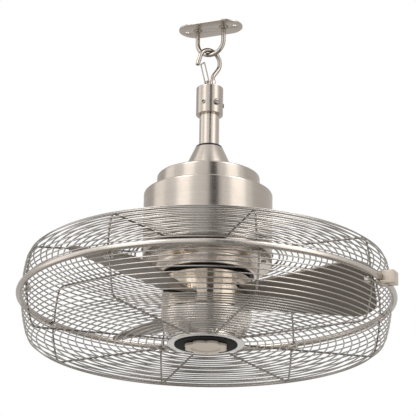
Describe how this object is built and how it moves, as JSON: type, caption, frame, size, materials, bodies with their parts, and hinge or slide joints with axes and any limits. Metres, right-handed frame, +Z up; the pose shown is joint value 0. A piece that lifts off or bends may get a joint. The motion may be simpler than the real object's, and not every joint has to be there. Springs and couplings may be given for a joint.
{
  "type": "caged hanging fan",
  "caption": "Outdoor hanging fan: snap hook on a U-bolt ceiling plate, short downrod, stepped motor housing, three pitched blades and a round wire guard with a hand knob.",
  "frame": {"origin": "centre of the ceiling plate's top face, where it meets the ceiling", "axes": "+Z up along the fan's own axis, +X along the ceiling plate's long side, +Y across it"},
  "size_m": [0.5151, 0.5004, 0.456],
  "materials": {
    "brushed_nickel": "satin brushed nickel plate over steel",
    "warm_nickel": "brushed nickel with a warm bronze cast",
    "blade_finish": "taupe metallic coat on pressed sheet blades",
    "guard_wire": "nickel plated wire and tube",
    "black_coat": "black powder coat",
    "black_rubber": "black moulded rubber",
    "cast_motor": "bare cast and pressed motor parts",
    "copper_winding": "varnished copper wire",
    "plain_steel": "bare zinc plated steel",
    "bright_steel": "bright plated steel",
    "clamp_paint": "light nickel coloured coat",
    "knob_plastic": "tan moulded plastic"
  },
  "bodies": {
    "mount": {"ceiling_plate": "brushed_nickel", "u_bolt": "brushed_nickel", "u_bolt_feet": "brushed_nickel"},
    "hanger": {"snap_hook": "brushed_nickel", "hook_base": "brushed_nickel", "hook_nut": "plain_steel", "collar": "brushed_nickel", "collar_bolt": "brushed_nickel", "collar_bolt_nut": "plain_steel", "collar_set_screws": "plain_steel", "downrod": "brushed_nickel", "rod_gasket": "black_rubber", "yoke_cover": "brushed_nickel", "rod_coupling": "cast_motor", "coupling_pin": "plain_steel", "upper_housing": "brushed_nickel", "drum_housing": "brushed_nickel", "motor_neck": "brushed_nickel", "seal_ring": "black_rubber", "motor_shaft": "plain_steel", "stator_core": "cast_motor", "stator_winding": "copper_winding", "guard_hoop": "guard_wire", "hoop_clamp": "clamp_paint", "clamp_screws": "plain_steel", "rib_clips": "guard_wire", "upper_ribs": "guard_wire", "upper_side_rings": "guard_wire", "upper_top_rings": "guard_wire", "guard_inner_ring": "guard_wire", "guard_brackets": "black_coat", "bracket_screws": "bright_steel", "drum_screws": "bright_steel", "lower_ribs": "guard_wire", "lower_side_rings": "guard_wire", "lower_bottom_rings": "guard_wire", "lower_cup": "brushed_nickel", "guard_centre_plate": "bright_steel", "centre_washer": "black_coat"},
    "gate": {"hook_gate": "bright_steel"},
    "rotor": {"rotor_upper_shell": "cast_motor", "rotor_lower_shell": "cast_motor", "upper_bearing": "plain_steel", "lower_bearing": "plain_steel", "hub": "warm_nickel", "blade_iron_1": "warm_nickel", "blade_iron_2": "warm_nickel", "blade_iron_3": "warm_nickel", "blade_1": "blade_finish", "blade_2": "blade_finish", "blade_3": "blade_finish", "blade_screws": "bright_steel"},
    "knob": {"guard_knob": "knob_plastic"}
  },
  "joints": [
    {"name": "hanger_swing", "type": "hinge", "parent": "mount", "child": "hanger", "pos_m": [0, 0, -0.0401], "axis": [1, 0, 0], "range_deg": [-45, 45]},
    {"name": "gate_hinge", "type": "hinge", "parent": "hanger", "child": "gate", "pos_m": [-0.00244, -0.0039, -0.0818], "axis": [-0.848, 0.5299, 0], "range_deg": [0, 28], "stiffness_Nm_per_rad": 0.01, "springref_deg": -20.05},
    {"name": "rotor_spin", "type": "hinge", "parent": "hanger", "child": "rotor", "pos_m": [0, 0, -0.3872], "axis": [0, 0, 1], "continuous": true},
    {"name": "knob_turn", "type": "hinge", "parent": "hanger", "child": "knob", "pos_m": [0, 0, -0.4532], "axis": [0, 0, 1], "range_deg": [0, 1080]}
  ]
}
